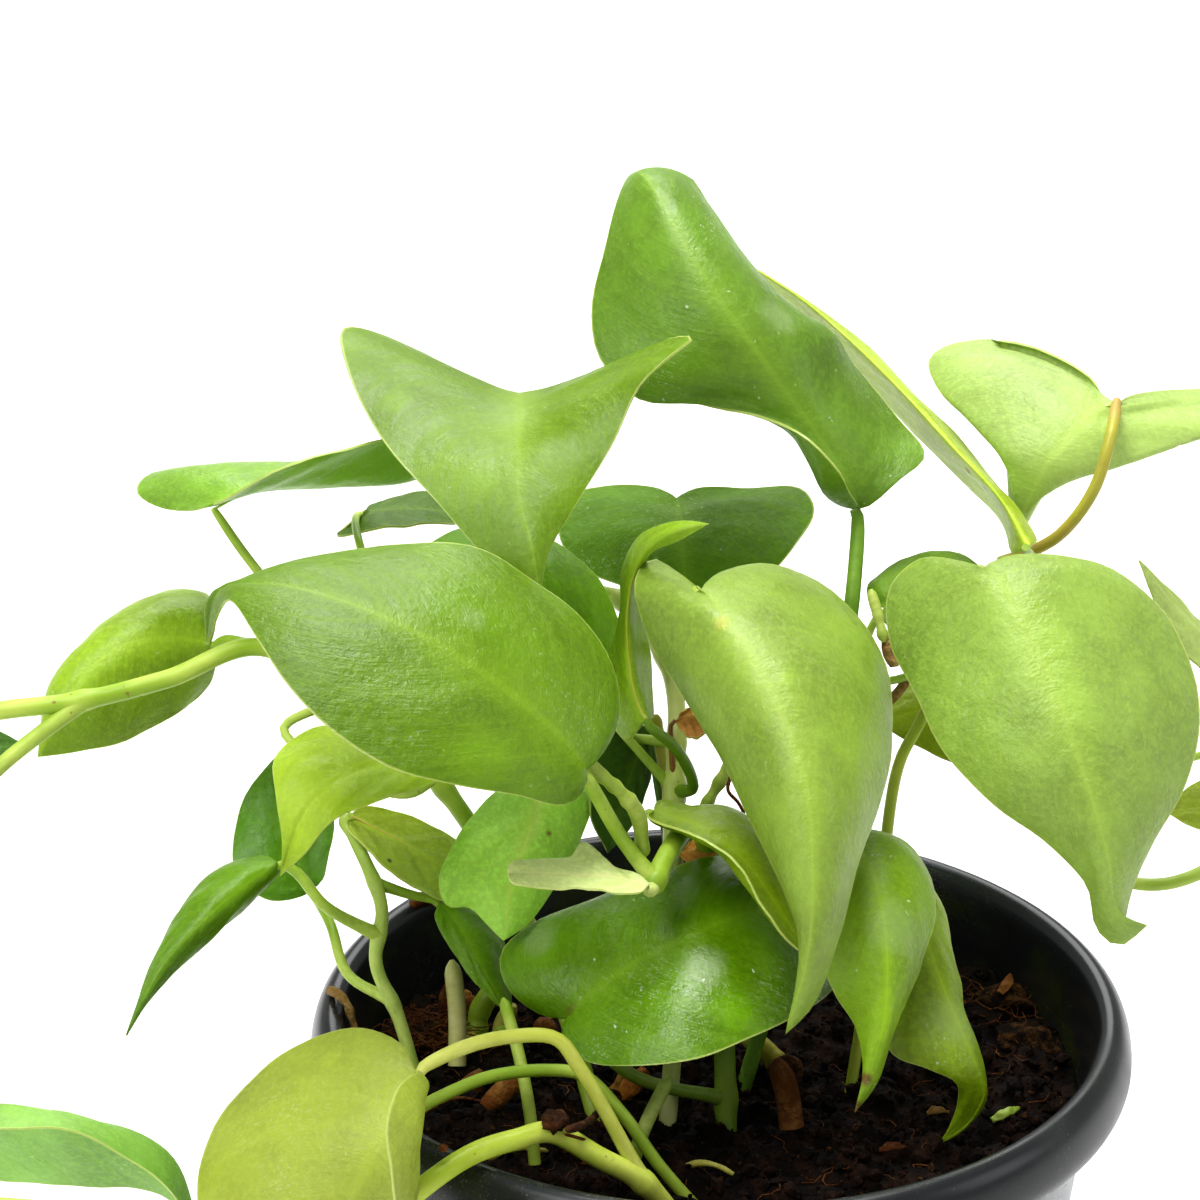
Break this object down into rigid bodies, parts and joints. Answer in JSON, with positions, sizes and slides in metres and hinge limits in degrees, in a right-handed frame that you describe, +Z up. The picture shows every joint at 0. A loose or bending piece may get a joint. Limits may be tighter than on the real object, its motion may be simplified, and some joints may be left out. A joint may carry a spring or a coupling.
{
  "type": "potted heartleaf philodendron",
  "caption": "Trailing aroid house plant with glossy heart-shaped leaves on thin green vines, rooted in dark soil in a round tapered nursery pot.",
  "frame": {"origin": "middle of the pot's flat underside, on the surface the pot stands on", "axes": "+Z up along the pot's axis, the plant's front towards -Y, +X to the right as seen from the front"},
  "size_m": [0.2685, 0.189, 0.2755],
  "materials": {
    "pot_plastic": "black injection-moulded plastic, slightly glossy, with dust on the lip",
    "soil": "dark moist potting mix of peat and coir fibre",
    "leaf_deep": "glossy deep green leaf with a thin pale margin",
    "leaf_mid": "glossy mid green leaf with a thin pale margin",
    "leaf_light": "glossy light green leaf with a thin pale margin",
    "leaf_lime": "satin yellow-green young leaf",
    "vine_green": "smooth green stem with pale streaks",
    "vine_pale": "pale straw-green old stem",
    "sheath": "papery cream sheath",
    "dry_brown": "dry brown and orange leaf remains and cut stem"
  },
  "bodies": {
    "root": {"pot": "pot_plastic", "soil": "soil", "vine_left": "vine_green", "vine_low_left": "vine_green", "vine_centre": "vine_pale", "vine_middle": "vine_green", "vine_tall": "vine_green", "vine_right": "vine_green", "vine_front": "vine_green", "vine_front_thin": "vine_green", "vine_trailing": "vine_green", "shoot_near": "vine_green", "shoot_middle": "vine_green", "shoot_pale": "vine_pale", "cut_stub": "dry_brown", "leaf_top": "leaf_deep", "leaf_edge_on": "leaf_lime", "leaf_upper_right": "leaf_light", "leaf_wing": "leaf_light", "leaf_far_left": "leaf_mid", "leaf_small_upper": "leaf_mid", "leaf_centre": "leaf_mid", "leaf_dark_left": "leaf_deep", "leaf_outer_left": "leaf_deep", "leaf_lime_left": "leaf_lime", "leaf_round_left": "leaf_deep", "leaf_low_left": "leaf_mid", "leaf_under": "leaf_deep", "leaf_shade": "leaf_deep", "leaf_lime_centre": "leaf_lime", "leaf_low_dark": "leaf_deep", "leaf_big": "leaf_light", "leaf_grey": "leaf_light", "leaf_back_dark": "leaf_deep", "leaf_mid_dark": "leaf_deep", "leaf_right": "leaf_light", "leaf_behind_right": "leaf_mid", "leaf_edge_tip": "leaf_deep", "leaf_edge_low": "leaf_deep", "leaf_drop_near": "leaf_light", "leaf_drop_far": "leaf_light", "leaf_rolled": "leaf_deep", "leaf_front_lime": "leaf_lime", "leaf_front_left": "leaf_light", "sheath_cream": "sheath", "leaf_shade_right": "leaf_deep", "dry_leaf_upper": "dry_brown", "dry_leaf_lower": "dry_brown"}
  },
  "joints": []
}
